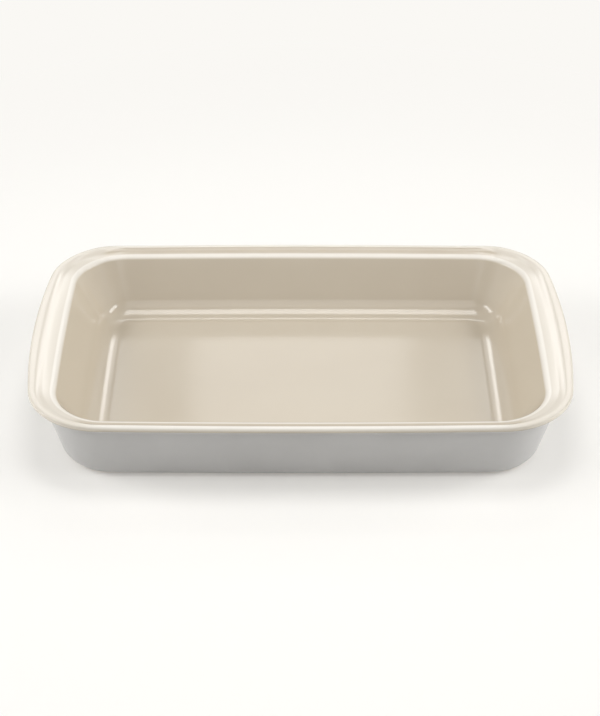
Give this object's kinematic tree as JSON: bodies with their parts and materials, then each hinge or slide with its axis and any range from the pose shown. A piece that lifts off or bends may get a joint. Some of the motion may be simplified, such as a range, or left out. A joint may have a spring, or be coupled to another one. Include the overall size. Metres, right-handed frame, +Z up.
{
  "type": "baking dish",
  "caption": "Rectangular stoneware baking dish with sloping walls, a flat floor and a wide rim that grows into two bowed end handles, cream glaze inside and grey glaze outside.",
  "frame": {"origin": "on the table, under the middle of the dish", "axes": "+X along the length towards one handle, +Y across the width, +Z up out of the mouth"},
  "size_m": [0.39, 0.24, 0.0555],
  "materials": {
    "stoneware": "matte",
    "cream_glaze": "gloss",
    "grey_glaze": "satin"
  },
  "bodies": {
    "root": {"stoneware_body": "stoneware", "inner_glaze": "cream_glaze", "outer_glaze": "grey_glaze"}
  },
  "joints": []
}
